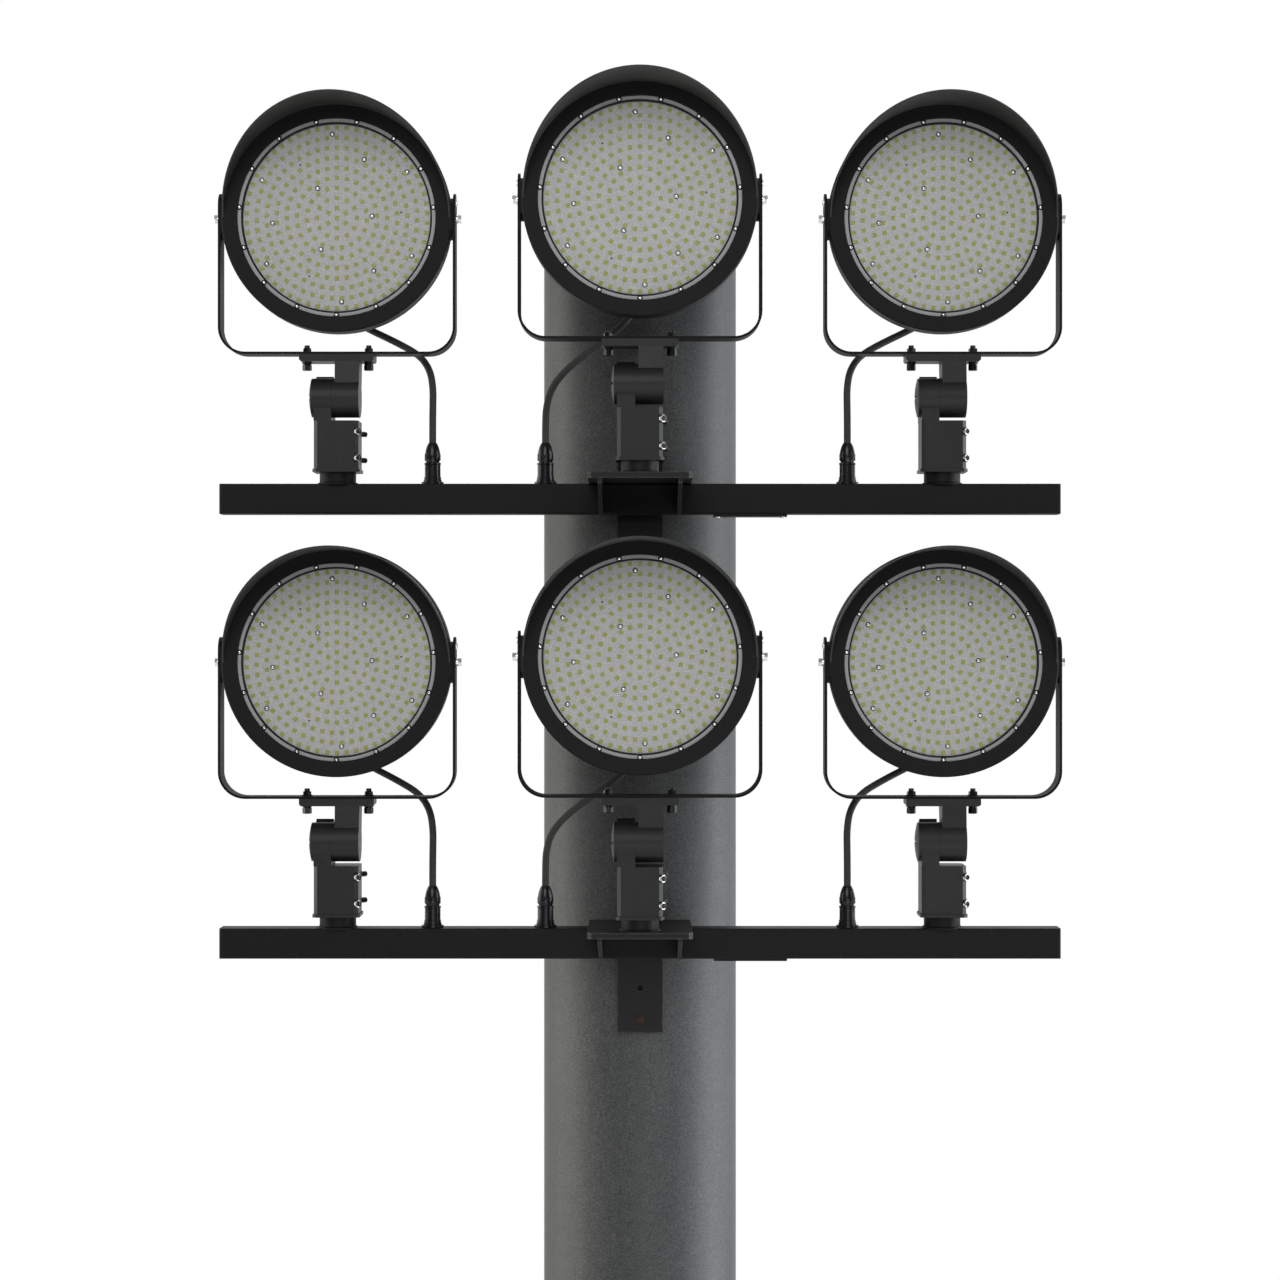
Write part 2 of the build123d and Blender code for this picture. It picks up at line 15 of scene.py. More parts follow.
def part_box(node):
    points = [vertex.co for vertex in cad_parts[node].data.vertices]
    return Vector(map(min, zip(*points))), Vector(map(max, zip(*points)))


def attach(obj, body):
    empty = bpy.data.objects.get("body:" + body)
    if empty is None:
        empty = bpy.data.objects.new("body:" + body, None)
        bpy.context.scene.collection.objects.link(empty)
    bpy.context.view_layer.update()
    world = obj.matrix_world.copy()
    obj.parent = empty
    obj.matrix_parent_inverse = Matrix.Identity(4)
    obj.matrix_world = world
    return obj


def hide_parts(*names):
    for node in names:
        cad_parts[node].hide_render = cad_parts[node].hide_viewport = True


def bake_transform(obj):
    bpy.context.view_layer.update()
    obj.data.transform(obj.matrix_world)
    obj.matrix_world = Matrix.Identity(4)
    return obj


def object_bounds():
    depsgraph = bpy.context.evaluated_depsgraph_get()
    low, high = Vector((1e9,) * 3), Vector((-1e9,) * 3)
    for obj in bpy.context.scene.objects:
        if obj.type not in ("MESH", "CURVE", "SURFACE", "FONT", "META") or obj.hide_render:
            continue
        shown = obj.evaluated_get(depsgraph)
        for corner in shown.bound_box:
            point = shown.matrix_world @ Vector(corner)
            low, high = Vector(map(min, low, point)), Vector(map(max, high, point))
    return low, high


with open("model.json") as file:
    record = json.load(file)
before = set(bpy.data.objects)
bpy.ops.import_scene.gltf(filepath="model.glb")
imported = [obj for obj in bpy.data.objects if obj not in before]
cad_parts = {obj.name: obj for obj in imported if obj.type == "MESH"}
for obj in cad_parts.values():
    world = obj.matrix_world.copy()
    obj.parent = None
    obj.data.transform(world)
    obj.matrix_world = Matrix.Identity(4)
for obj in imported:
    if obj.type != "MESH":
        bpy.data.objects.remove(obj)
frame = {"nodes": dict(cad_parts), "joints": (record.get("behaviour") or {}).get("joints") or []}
cad_low, cad_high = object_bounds()
print("model box", [round(v, 3) for v in cad_low], [round(v, 3) for v in cad_high])

# %% [markdown]
# The mast carries six equal lamps. Each stands over its own tenon, so every small piece is modelled once, over a
# tenon foot at the origin, and then copied to the six places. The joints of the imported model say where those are:
# the upright axis of the slip fitter gives x and y, and the tilt axis gives the height.

# %% Find the six lamp places
PIVOT_RISE = 0.4384  # from the tenon's foot to the tilt axis
joints = {joint["name"]: Vector(joint["pos_m"]) for joint in frame["joints"]}
places = {}
for name, point in joints.items():
    if name.endswith("_aim"):
        lamp = name.removesuffix("_aim")
        places[lamp] = Vector((point.x, point.y, joints[f"{lamp}_tilt"].z - PIVOT_RISE))
column_low, column_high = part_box("column")
COLUMN_RADIUS = (column_high.x - column_low.x) / 2
ARM_Y = places["upper_left"].y
arm_tops = {row: places[f"{row}_left"].z for row in ("upper", "lower")}
for lamp, place in places.items():
    print(lamp, [round(v, 4) for v in place])

# %% [markdown]
# The photograph is taken level, from the front, a little below the upper crossarm. The camera could be moved by eye
# until the picture fits, but its scale is known at the crossarms, 1.6554 mm a pixel, so the lens is worked out from
# that scale, the distance and the width of the picture. The height follows from the row in which the arm's top lies.

# %% Set up the camera
PICTURE_WIDTH = 1280
SCALE_AT_ARM = 0.0016554  # metres a pixel
CAMERA_DISTANCE = 5.0
SENSOR = 36.0  # millimetres
ARM_TOP_ROW = 484.35  # counted from the top of the picture
camera_height = arm_tops["upper"] - (PICTURE_WIDTH / 2 - ARM_TOP_ROW) * SCALE_AT_ARM
bpy.ops.object.camera_add(location=(0, ARM_Y - CAMERA_DISTANCE, camera_height), rotation=(math.pi / 2, 0, 0))
camera = bpy.context.object
camera.name = "camera"
camera.data.sensor_width = SENSOR
camera.data.lens = SENSOR * CAMERA_DISTANCE / (SCALE_AT_ARM * PICTURE_WIDTH)
bpy.context.scene.camera = camera
print("lens", round(camera.data.lens, 2), "mm, height", round(camera_height, 4), "m")

# %% [markdown]
# A few helpers keep the modelling short. An operator acts on everything that is selected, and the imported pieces
# come in selected, so each primitive starts from an empty selection. Faces and edges are then chosen by their place.

# %% Helpers for modelling
def begin():
    """Leaves edit mode and selects nothing, ready for a new primitive."""
    if bpy.context.object and bpy.context.object.mode == "EDIT":
        bpy.ops.object.mode_set(mode="OBJECT")
    bpy.ops.object.select_all(action="DESELECT")


def edit(name):
    """Names the new primitive, puts its place into its mesh and opens it in edit mode."""
    piece = bpy.context.object
    piece.name = name
    bpy.ops.object.transform_apply(location=True, rotation=True, scale=True)
    bpy.ops.object.mode_set(mode="EDIT")
    bpy.ops.mesh.select_all(action="DESELECT")
    return piece


def pick_faces(piece, test):
    """Selects the faces that pass the test, in edit mode."""
    bpy.ops.mesh.select_mode(type="FACE")
    bpy.ops.mesh.select_all(action="DESELECT")
    shape = bmesh.from_edit_mesh(piece.data)
    for face in shape.faces:
        face.select_set(bool(test(face.calc_center_median(), face.normal)))
    bmesh.update_edit_mesh(piece.data)


def pick_edges(piece, test):
    """Selects the edges whose two ends pass the test, in edit mode."""
    bpy.ops.mesh.select_mode(type="EDGE")
    bpy.ops.mesh.select_all(action="DESELECT")
    shape = bmesh.from_edit_mesh(piece.data)
    for edge in shape.edges:
        edge.select_set(all(test(vertex.co) for vertex in edge.verts))
    bmesh.update_edit_mesh(piece.data)


def close(piece, angle=35):
    """Leaves edit mode and shades the piece smooth, apart from its sharp edges."""
    bpy.ops.mesh.select_all(action="SELECT")
    bpy.ops.mesh.normals_make_consistent(inside=False)
    bpy.ops.object.mode_set(mode="OBJECT")
    bpy.ops.object.shade_smooth_by_angle(angle=math.radians(angle))
    return piece


def join(name, *parts):
    """Joins finished shapes into one piece."""
    begin()
    for part in parts:
        part.select_set(True)
    bpy.context.view_layer.objects.active = parts[0]
    bpy.ops.object.join()
    parts[0].name = name
    return parts[0]


# %% [markdown]
# The same screw sits at many places. It could be placed by hand each time, but a master shape that is copied by
# matrices keeps them all alike, and one piece a lamp keeps the list of pieces short. Each piece is then given its
# material and told which body carries it.

# %% Helpers for copying
def gather(master, name, matrices):
    """One piece made of many copies of a master shape, each at its own matrix."""
    build = bmesh.new()
    for matrix in matrices:
        copy = master.data.copy()
        copy.transform(matrix)
        build.from_mesh(copy)
        bpy.data.meshes.remove(copy)
    mesh = bpy.data.meshes.new(name)
    build.to_mesh(mesh)
    build.free()
    for material in master.data.materials:
        mesh.materials.append(material)
    piece = bpy.data.objects.new(name, mesh)
    bpy.context.scene.collection.objects.link(piece)
    return piece


def drop(*masters):
    """Removes master shapes once their copies are made."""
    for master in masters:
        bpy.data.objects.remove(master)


def finish_piece(piece, body, material=None):
    """Gives a finished piece its material, if one is given, and its body."""
    if material:
        piece.data.materials.clear()
        piece.data.materials.append(material)
    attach(piece, body)
    return piece


def fit_lamps(master, name, matrices, part, material=None):
    """Copies a master to every lamp, at each of the matrices over its tenon, and lets it ride on that lamp's part."""
    for lamp, place in places.items():
        there = [Matrix.Translation(place) @ matrix for matrix in matrices]
        finish_piece(gather(master, f"{lamp}_{name}", there), f"{lamp}_{part}", material)
    print(name, len(matrices), "to a lamp,", len(master.data.polygons) * len(matrices), "faces")
    drop(master)


def at(x, y, z):
    """A matrix that moves a shape to a point."""
    return Matrix.Translation((x, y, z))


def turn(degrees, axis):
    """A matrix that turns a shape about an axis through the origin."""
    return Matrix.Rotation(math.radians(degrees), 4, axis)


# %% [markdown]
# Finishes come next. Their patterns could be painted pictures, but a noise never shows a seam and fits any size. It
# reads Object coordinates: every piece has its place in its mesh, so one metre of noise is one metre on the mast.
# Numbers that are the same all over the surface are typed into the shader's own sockets.

# %% Helpers for materials
def new_material(name, roughness, metallic=0.0, specular=0.5):
    """A node material with its Principled shader, and helpers' handles to both."""
    material = bpy.data.materials.new(name)
    material.use_nodes = True
    nodes, links = material.node_tree.nodes, material.node_tree.links
    shader = nodes["Principled BSDF"]
    shader.inputs["Roughness"].default_value = roughness
    shader.inputs["Metallic"].default_value = metallic
    shader.inputs["Specular IOR Level"].default_value = specular
    return material, nodes, links, shader


def noise(nodes, links, scale, detail=3.0, rough=0.55, stretch=(1, 1, 1)):
    """A noise pattern on Object coordinates. Scale is in waves a metre."""
    where = nodes.new("ShaderNodeTexCoord")
    place = nodes.new("ShaderNodeMapping")
    place.inputs["Scale"].default_value = stretch
    pattern = nodes.new("ShaderNodeTexNoise")
    pattern.inputs["Scale"].default_value = scale
    pattern.inputs["Detail"].default_value = detail
    pattern.inputs["Roughness"].default_value = rough
    links.new(where.outputs["Object"], place.inputs["Vector"])
    links.new(place.outputs["Vector"], pattern.inputs["Vector"])
    return pattern.outputs["Fac"]


def ramp(nodes, links, value, stops):
    """Turns a value into a colour through stops of (position, colour)."""
    colours = nodes.new("ShaderNodeValToRGB")
    elements = colours.color_ramp.elements
    elements[0].position, elements[0].color = stops[0][0], (*stops[0][1], 1)
    elements[1].position, elements[1].color = stops[-1][0], (*stops[-1][1], 1)
    for position, colour in stops[1:-1]:
        elements.new(position).color = (*colour, 1)
    links.new(value, colours.inputs["Fac"])
    return colours.outputs["Color"]


def mix_colour(nodes, links, factor, first, second, blend="MIX"):
    """Mixes two colours by a factor, which may be a number or a socket."""
    mixer = nodes.new("ShaderNodeMix")
    mixer.data_type = "RGBA"
    mixer.blend_type = blend
    for socket, value in ((mixer.inputs[0], factor), (mixer.inputs[6], first), (mixer.inputs[7], second)):
        if isinstance(value, bpy.types.NodeSocket):
            links.new(value, socket)
        elif isinstance(value, tuple):
            socket.default_value = (*value, 1)
        else:
            socket.default_value = value
    return mixer.outputs[2]


def bump(nodes, links, shader, height, strength, distance):
    """Adds a bump to the shader."""
    relief = nodes.new("ShaderNodeBump")
    relief.inputs["Strength"].default_value = strength
    relief.inputs["Distance"].default_value = distance
    links.new(height, relief.inputs["Height"])
    links.new(relief.outputs["Normal"], shader.inputs["Normal"])


def grey(level, warm=0.0):
    """A grey of that linear level, a touch warm or cool."""
    return (level * (1 + warm), level, level * (1 - warm))


def edge_mask(nodes, links, reach, patches):
    """One along sharp edges, within the reach, and zero elsewhere, broken up by a pattern of patches."""
    rounded = nodes.new("ShaderNodeBevel")
    rounded.samples = 4
    rounded.inputs["Radius"].default_value = reach
    surface = nodes.new("ShaderNodeNewGeometry")
    match = nodes.new("ShaderNodeVectorMath")
    match.operation = "DOT_PRODUCT"
    links.new(rounded.outputs["Normal"], match.inputs[0])
    links.new(surface.outputs["Normal"], match.inputs[1])
    edge = nodes.new("ShaderNodeMapRange")
    edge.inputs["From Min"].default_value = 0.995
    edge.inputs["From Max"].default_value = 0.86
    links.new(match.outputs["Value"], edge.inputs["Value"])
    edge_wear_and_highlight = nodes.new("ShaderNodeMapRange")
    edge_wear_and_highlight.inputs["From Min"].default_value = 0.3
    edge_wear_and_highlight.inputs["From Max"].default_value = 0.55
    links.new(patches, edge_wear_and_highlight.inputs["Value"])
    both = nodes.new("ShaderNodeMath")
    both.operation = "MULTIPLY"
    links.new(edge.outputs["Result"], both.inputs[0])
    links.new(edge_wear_and_highlight.outputs["Result"], both.inputs[1])
    return both.outputs["Value"]


# %% [markdown]
# A powder coat is baked on, nearly black, with a fine orange peel. On the edges it is rubbed thin and the primer
# shows through, and their lighter colour is also a painted highlight along them. So the colour wanders a little,
# the bump is a fine noise, and a bevel node finds the edges, which needs no painting by hand. A low specular level
# keeps the black deep in a bright studio.

# %% Powder coat for arms, yokes, heads and castings
def powder_coat(name, level, roughness, grain, relief, specular=0.3, warm=0.0, edge_wear_and_highlight=None, reach=0.002):
    """Nearly black paint: fine peel, faint cloudy patches, a rougher film of dust here and there, and edges lightened
    by wear and painted highlight.
    """
    material, nodes, links, shader = new_material(name, roughness, specular=specular)
    fine = noise(nodes, links, grain, detail=4.0)
    cloudy = noise(nodes, links, 9.0, detail=5.0)
    speck = ramp(nodes, links, fine, [(0.3, grey(level * 0.72, warm)), (0.7, grey(level * 1.3, warm))])
    film = ramp(nodes, links, cloudy, [(0.42, (0.86, 0.86, 0.86)), (0.62, (1.12, 1.12, 1.12))])
    colour = mix_colour(nodes, links, 1.0, speck, film, "MULTIPLY")
    # The edges take a lighter colour: partly rubbed paint, partly a painted highlight along them.
    if edge_wear_and_highlight:
        mask = edge_mask(nodes, links, reach, noise(nodes, links, 60.0, detail=4.0))
        colour = mix_colour(nodes, links, mask, colour, edge_wear_and_highlight)
    links.new(colour, shader.inputs["Base Color"])
    spread = nodes.new("ShaderNodeMapRange")
    spread.inputs["To Min"].default_value = roughness - 0.08
    spread.inputs["To Max"].default_value = roughness + 0.1
    links.new(cloudy, spread.inputs["Value"])
    links.new(spread.outputs["Result"], shader.inputs["Roughness"])
    bump(nodes, links, shader, fine, relief, 0.0004)
    return material


arm_paint = powder_coat("arm_paint", 0.0055, 0.5, 700.0, 0.25, specular=0.2, edge_wear_and_highlight=(0.016, 0.014, 0.013))
yoke_paint = powder_coat(
    "yoke_paint", 0.009, 0.55, 800.0, 0.2, specular=0.12, edge_wear_and_highlight=(0.03, 0.024, 0.021), reach=0.0012
)
head_paint = powder_coat("head_paint", 0.0072, 0.55, 420.0, 0.35, specular=0.2)
# The visor has the head's black paint, made far lighter here: painted light on its shaded inside.
visor_lit_paint = powder_coat("visor_lit_paint", 0.052, 0.55, 420.0, 0.3, specular=0.25)
fitter_paint = powder_coat(
    "fitter_paint", 0.0165, 0.44, 500.0, 0.3, specular=0.34, edge_wear_and_highlight=(0.024, 0.019, 0.0165), reach=0.0008
)
bracket_paint = powder_coat(
    "bracket_paint", 0.0075, 0.5, 700.0, 0.25, warm=0.04, edge_wear_and_highlight=(0.095, 0.071, 0.06), reach=0.004
)
print("powder coats:", [material.name for material in bpy.data.materials if material.name.endswith("_paint")])

# %% [markdown]
# Galvanised steel is a mass of small zinc crystals, dulled by years outdoors. From the pitch it reads as a fine
# grain, lighter and darker from one speck to the next, over broad soft stains that run down the column. One noise
# would look like cloth, so three patterns are multiplied: grain, crystal flakes and streaks drawn out along Z.

# %% Galvanised steel
def galvanised(name, level, grain):
    """Dull zinc: fine light and dark grain, crystal flakes and long faint streaks."""
    material, nodes, links, shader = new_material(name, 0.55, metallic=0.3, specular=0.4)
    fine = noise(nodes, links, grain, detail=2.0, rough=0.6)
    flakes = nodes.new("ShaderNodeTexVoronoi")
    flakes.inputs["Scale"].default_value = 70.0
    where = nodes.new("ShaderNodeTexCoord")
    links.new(where.outputs["Object"], flakes.inputs["Vector"])
    streaks = noise(nodes, links, 14.0, detail=5.0, stretch=(1, 1, 0.12))
    cool = [grey(level * share, -0.025) for share in (0.62, 1.0, 1.5)]
    base = ramp(nodes, links, fine, [(0.34, cool[0]), (0.5, cool[1]), (0.68, cool[2])])
    crystal = ramp(nodes, links, flakes.outputs["Color"], [(0.1, (0.93, 0.94, 0.95)), (0.9, (1.06, 1.06, 1.05))])
    stain = ramp(nodes, links, streaks, [(0.38, (0.9, 0.91, 0.9)), (0.62, (1.06, 1.05, 1.04))])
    speckled = mix_colour(nodes, links, 1.0, base, crystal, "MULTIPLY")
    links.new(mix_colour(nodes, links, 1.0, speckled, stain, "MULTIPLY"), shader.inputs["Base Color"])
    spread = nodes.new("ShaderNodeMapRange")
    spread.inputs["To Min"].default_value = 0.42
    spread.inputs["To Max"].default_value = 0.62
    links.new(fine, spread.inputs["Value"])
    links.new(spread.outputs["Result"], shader.inputs["Roughness"])
    bump(nodes, links, shader, fine, 0.3, 0.0005)
    return material


column_zinc = galvanised("column_zinc", 0.086, 400.0)
base_zinc = galvanised("base_zinc", 0.17, 260.0)
cap_paint = powder_coat("cap_paint", 0.03, 0.5, 500.0, 0.25)
print("zinc on the column and its base, paint on its cap")

# %% [markdown]
# The bright pieces are few: the ring that clamps the front glass, and stainless screws. Plastic and rubber differ
# from paint by a broader, softer shine.

# %% Bright metal
def bright_metal(name, level, roughness, grain, metallic=1.0, tint=0.0):
    """Bare metal with a faint turned or rolled grain. A blasted or dulled one is less metallic."""
    material, nodes, links, shader = new_material(name, roughness, metallic=metallic)
    fine = noise(nodes, links, grain, detail=3.0)
    colour = ramp(nodes, links, fine, [(0.3, grey(level * 0.82, tint)), (0.7, grey(min(1.0, level * 1.12), tint))])
    links.new(colour, shader.inputs["Base Color"])
    bump(nodes, links, shader, fine, 0.12, 0.0002)
    return material


ring_metal = bright_metal("ring_metal", 0.43, 0.5, 900.0, metallic=0.2)
stainless = bright_metal("stainless", 0.88, 0.16, 1500.0)
bolt_zinc = bright_metal("bolt_zinc", 0.45, 0.38, 900.0)
clamp_zinc = bright_metal("clamp_zinc", 0.42, 0.2, 1500.0)
black_zinc = bright_metal("black_zinc", 0.035, 0.24, 1200.0, metallic=0.8)
print("metals:", ring_metal.name, stainless.name, bolt_zinc.name, clamp_zinc.name, black_zinc.name)

# %% Plastic and rubber
black_steel = powder_coat("black_steel", 0.012, 0.34, 1200.0, 0.15, specular=0.4)
connector_plastic = powder_coat("connector_plastic", 0.005, 0.24, 900.0, 0.08, specular=0.45)
end_cap_plastic = powder_coat("end_cap_plastic", 0.013, 0.55, 600.0, 0.2)
cable_rubber = powder_coat("cable_rubber", 0.05, 0.62, 1500.0, 0.12, specular=0.2)
seal_rubber = powder_coat("seal_rubber", 0.012, 0.6, 1200.0, 0.15)
print("plastics and rubbers:", connector_plastic.name, end_cap_plastic.name, cable_rubber.name, seal_rubber.name)

# %% [markdown]
# Behind the glass lies a board with white lacquer, which reads as a fine speckle, and on it the unlit chips, each a
# square of dull yellow phosphor. The glass could bend the light as real glass does, but a thin flat pane hardly
# does, so a nearly see-through film gives the same look with less noise.

# %% Board, chips and glass
def board_lacquer():
    """The board's white lacquer: a fine light and dark speckle."""
    material, nodes, links, shader = new_material("board_lacquer", 0.5, specular=0.4)
    speck = noise(nodes, links, 620.0, detail=2.0, rough=0.7)
    shades = [(0.3, (0.43, 0.43, 0.435)), (0.5, (0.58, 0.572, 0.58)), (0.7, (0.76, 0.75, 0.755))]
    colour = ramp(nodes, links, speck, shades)
    links.new(colour, shader.inputs["Base Color"])
    bump(nodes, links, shader, speck, 0.15, 0.0002)
    return material


board_white = board_lacquer()


def chip_finish():
    """The phosphor of an unlit chip: dull yellow, a little lighter and darker."""
    material, nodes, links, shader = new_material("chip_phosphor", 0.45, specular=0.5)
    speck = noise(nodes, links, 900.0, detail=2.0)
    colour = ramp(nodes, links, speck, [(0.3, (0.33, 0.33, 0.015)), (0.7, (0.46, 0.46, 0.03))])
    links.new(colour, shader.inputs["Base Color"])
    return material


chip_phosphor = chip_finish()


def front_glass():
    """Clear polycarbonate, seen mostly as a faint film over the board."""
    material, nodes, links, shader = new_material("front_glass", 0.08, specular=0.5)
    haze = noise(nodes, links, 30.0, detail=4.0)
    colour = ramp(nodes, links, haze, [(0.3, (0.62, 0.64, 0.64)), (0.7, (0.8, 0.82, 0.82))])
    links.new(colour, shader.inputs["Base Color"])
    shader.inputs["Alpha"].default_value = 0.05
    return material


lens_clear = front_glass()
print("lamp face:", board_white.name, chip_phosphor.name, lens_clear.name)


# %% Rust
def rusty_steel():
    """Bare bolts that have begun to rust."""
    material, nodes, links, shader = new_material("rusty_steel", 0.75, metallic=0.2, specular=0.3)
    patches = noise(nodes, links, 160.0, detail=6.0, rough=0.65)
    shades = [(0.35, (0.022, 0.017, 0.014)), (0.55, (0.06, 0.033, 0.023)), (0.7, (0.11, 0.052, 0.03))]
    colour = ramp(nodes, links, patches, shades)
    links.new(colour, shader.inputs["Base Color"])
    bump(nodes, links, shader, patches, 0.4, 0.0006)
    return material


rust = rusty_steel()
print("rust:", rust.name)

# %% [markdown]
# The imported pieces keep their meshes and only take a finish. Their names end alike on every lamp and in both rows,
# so one table by ending paints them all.

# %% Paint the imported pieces
NODE_PAINT = {
    "column": column_zinc,
    "column_cap": cap_paint,
    "base_flange": base_zinc,
    "service_cover": base_zinc,
    "crossarm_end_caps": end_cap_plastic,
    "wiring_covers": arm_paint,
    "crossarm": arm_paint,
    "centre_bracket": bracket_paint,
    "connectors": connector_plastic,
    "slip_fitter": fitter_paint,
    "knuckle_head": fitter_paint,
    "yoke": yoke_paint,
    "housing": head_paint,
    # the visor takes the lighter black, which is painted light
    "visor": visor_lit_paint,
    "lens_ring": ring_metal,
    "led_board": board_white,
}
for node_name, node in frame["nodes"].items():
    finish = next((paint for ending, paint in NODE_PAINT.items() if node_name.endswith(ending)), None)
    if finish:
        node.data.materials.clear()
        node.data.materials.append(finish)
print(len(frame["nodes"]), "packed pieces painted")

# %% [markdown]
# One cable feeds each lamp, from the gland under its driver drum to a connector on the crossarm. It leaves the gland
# straight down, swings out behind the yoke and falls into the connector. It could be left to a simulation, but it
# is stiff and taut, and its route is plain to see, so it is a smooth curve over listed control points, within
# 11 mm of the solid model's. The cable crosses three joints, so it is cut into three tubes.

# %% Cable routes over the tenon foot
CABLE_RADIUS = 0.0058
SIDE_ROUTE = [
    (0, 0.087, 0.336),
    (0, 0.087, 0.306),
    (0.014, 0.083, 0.281),
    (0.047, 0.075, 0.263),
    (0.092, 0.063, 0.241),
    (0.131, 0.050, 0.219),
    (0.150, 0.034, 0.193),
    (0.1565, 0.016, 0.161),
    (0.157, 0.002, 0.127),
    (0.1568, 0, 0.098),
    (0.1568, 0, 0.0684),
]
CENTRE_ROUTE = [
    (0, 0.087, 0.336),
    (0, 0.087, 0.307),
    (-0.005, 0.088, 0.278),
    (-0.023, 0.091, 0.252),
    (-0.053, 0.097, 0.228),
    (-0.087, 0.106, 0.203),
    (-0.120, 0.118, 0.178),
    (-0.145, 0.135, 0.150),
    (-0.155, 0.148, 0.119),
    (-0.1565, 0.155, 0.088),
    (-0.1565, 0.155, 0.0584),
]
ROUTES = {"left": SIDE_ROUTE, "centre": CENTRE_ROUTE, "right": [(-x, y, z) for x, y, z in SIDE_ROUTE]}
print("cable routes with", {lamp: len(route) for lamp, route in ROUTES.items()}, "control points")


# %% Draw the cables
def smooth_line(route, place):
    """Points along the smooth curve that has the route as its control points."""
    curve = bpy.data.curves.new("route", "CURVE")
    curve.dimensions = "3D"
    spline = curve.splines.new("NURBS")
    spline.points.add(len(route) - 1)
    for point, spot in zip(spline.points, route):
        point.co = (*(Vector(spot) + place), 1)
    spline.order_u = 3
    spline.use_endpoint_u = True
    spline.resolution_u = 14
    guide = bpy.data.objects.new("route", curve)
    bpy.context.scene.collection.objects.link(guide)
    bpy.context.view_layer.update()
    line = bpy.data.meshes.new_from_object(guide)
    points = [vertex.co.copy() for vertex in line.vertices]
    bpy.data.objects.remove(guide)
    bpy.data.meshes.remove(line)
    return points


def run_length(points):
    """Length of a line of points."""
    return sum((b - a).length for a, b in zip(points, points[1:]))


def cable_tube(name, points):
    """A round tube along the points, closed at both ends."""
    curve = bpy.data.curves.new(name, "CURVE")
    curve.dimensions = "3D"
    curve.bevel_depth = CABLE_RADIUS
    curve.bevel_resolution = 6
    curve.use_fill_caps = True
    spline = curve.splines.new("POLY")
    spline.points.add(len(points) - 1)
    for point, spot in zip(spline.points, points):
        point.co = (*spot, 1)
    tube = bpy.data.objects.new(name, curve)
    bpy.context.scene.collection.objects.link(tube)
    begin()
    tube.select_set(True)
    bpy.context.view_layer.objects.active = tube
    bpy.ops.object.convert(target="MESH")
    tube = bpy.context.object
    bpy.ops.object.mode_set(mode="EDIT")
    bpy.ops.mesh.select_all(action="SELECT")
    bpy.ops.mesh.remove_doubles(threshold=0.00001)
    return close(tube, angle=50)


for lamp, place in places.items():
    points = smooth_line(ROUTES[lamp.split("_")[1]], place)
    total = run_length(points)
    cuts = [0, 0, 0, len(points) - 1]
    for share in (1, 2):
        cuts[share] = min(range(len(points)), key=lambda i: abs(run_length(points[: i + 1]) - total * share / 3))
    for index, part in enumerate(("upper", "middle", "lower")):
        stretch = points[cuts[index] : cuts[index + 1] + 1]
        tube = cable_tube(f"{lamp}_cable_{part}", stretch)
        tube.data.materials.clear()
        tube.data.materials.append(cable_rubber)
        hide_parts(f"{lamp}_cable")
        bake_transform(tube)
    print(lamp, "cable", round(total, 4), "m, cut after points", cuts[1:3])

# %% [markdown]
# Fasteners are turned or hexagonal shapes that stand on their seat, along +Z. A finished bolt could be modelled in
# one go, but washer, head and stud have their own sizes, so each is a primitive at its size and place, with its rim
# taken off in edit mode. A bolt is then made of a few such shapes, joined.

# %% Shapes of fasteners
def hexagon(name, flats, foot, height, rim=0.0006):
    """A hexagon prism that stands at z = foot, with the rim of its top taken off."""
    begin()
    bpy.ops.mesh.primitive_cylinder_add(
        vertices=6, radius=flats / math.sqrt(3), depth=height, location=(0, 0, foot + height / 2)
    )
    piece = edit(name)
    pick_faces(piece, lambda place, normal: normal.z > 0.9)
    bpy.ops.mesh.bevel(offset=rim, segments=1)
    return close(piece, angle=20)


def disc(name, radius, foot, height, vertices=20, rim=0.0, segments=1):
    """A round disc or shank that stands at z = foot. Its top rim may be rounded."""
    begin()
    bpy.ops.mesh.primitive_cylinder_add(
        vertices=vertices, radius=radius, depth=height, location=(0, 0, foot + height / 2)
    )
    piece = edit(name)
    if rim:
        pick_faces(piece, lambda place, normal: normal.z > 0.9)
        bpy.ops.mesh.bevel(offset=rim, segments=segments)
    return close(piece, angle=40 if segments > 1 else 30)


def socket(piece, radius, top, depth):
    """Sinks a hexagon socket into the top face of a screw head."""
    begin()
    piece.select_set(True)
    bpy.context.view_layer.objects.active = piece
    bpy.ops.object.mode_set(mode="EDIT")
    pick_faces(piece, lambda place, normal: normal.z > 0.9 and place.z > top - 0.0002)
    bpy.ops.mesh.inset(thickness=radius, depth=0)
    bpy.ops.mesh.extrude_region_move(TRANSFORM_OT_translate={"value": (0, 0, -depth)})
    return close(piece, angle=25)


# %% [markdown]
# The board carries nine rings of chips round one in the middle. Ring k has a radius of k steps and room for
# 6.45 k chips, and each ring starts with a chip at the top. An array modifier gives a line or one ring, so the places
# are worked out instead, and one small block is copied to them. The board's front is 17 mm in front of the pivots.

# %% Chips on the boards
RING_STEP = 0.01656
CHIPS_PER_STEP = 6.45
CHIP_RINGS = 9
CHIP_SIDE = 0.0067
CHIP_HEIGHT = 0.0012
BOARD_FRONT = -0.017
RING_FRONT = -0.024


def on_face(radius, degrees, depth, roll=0.0):
    """A matrix that stands a +Z shape on the lamp's face, at a radius and an angle seen from the front."""
    angle = math.radians(degrees)
    spot = at(radius * math.cos(angle), depth, PIVOT_RISE + radius * math.sin(angle))
    return spot @ turn(90, "X") @ turn(roll, "Z")


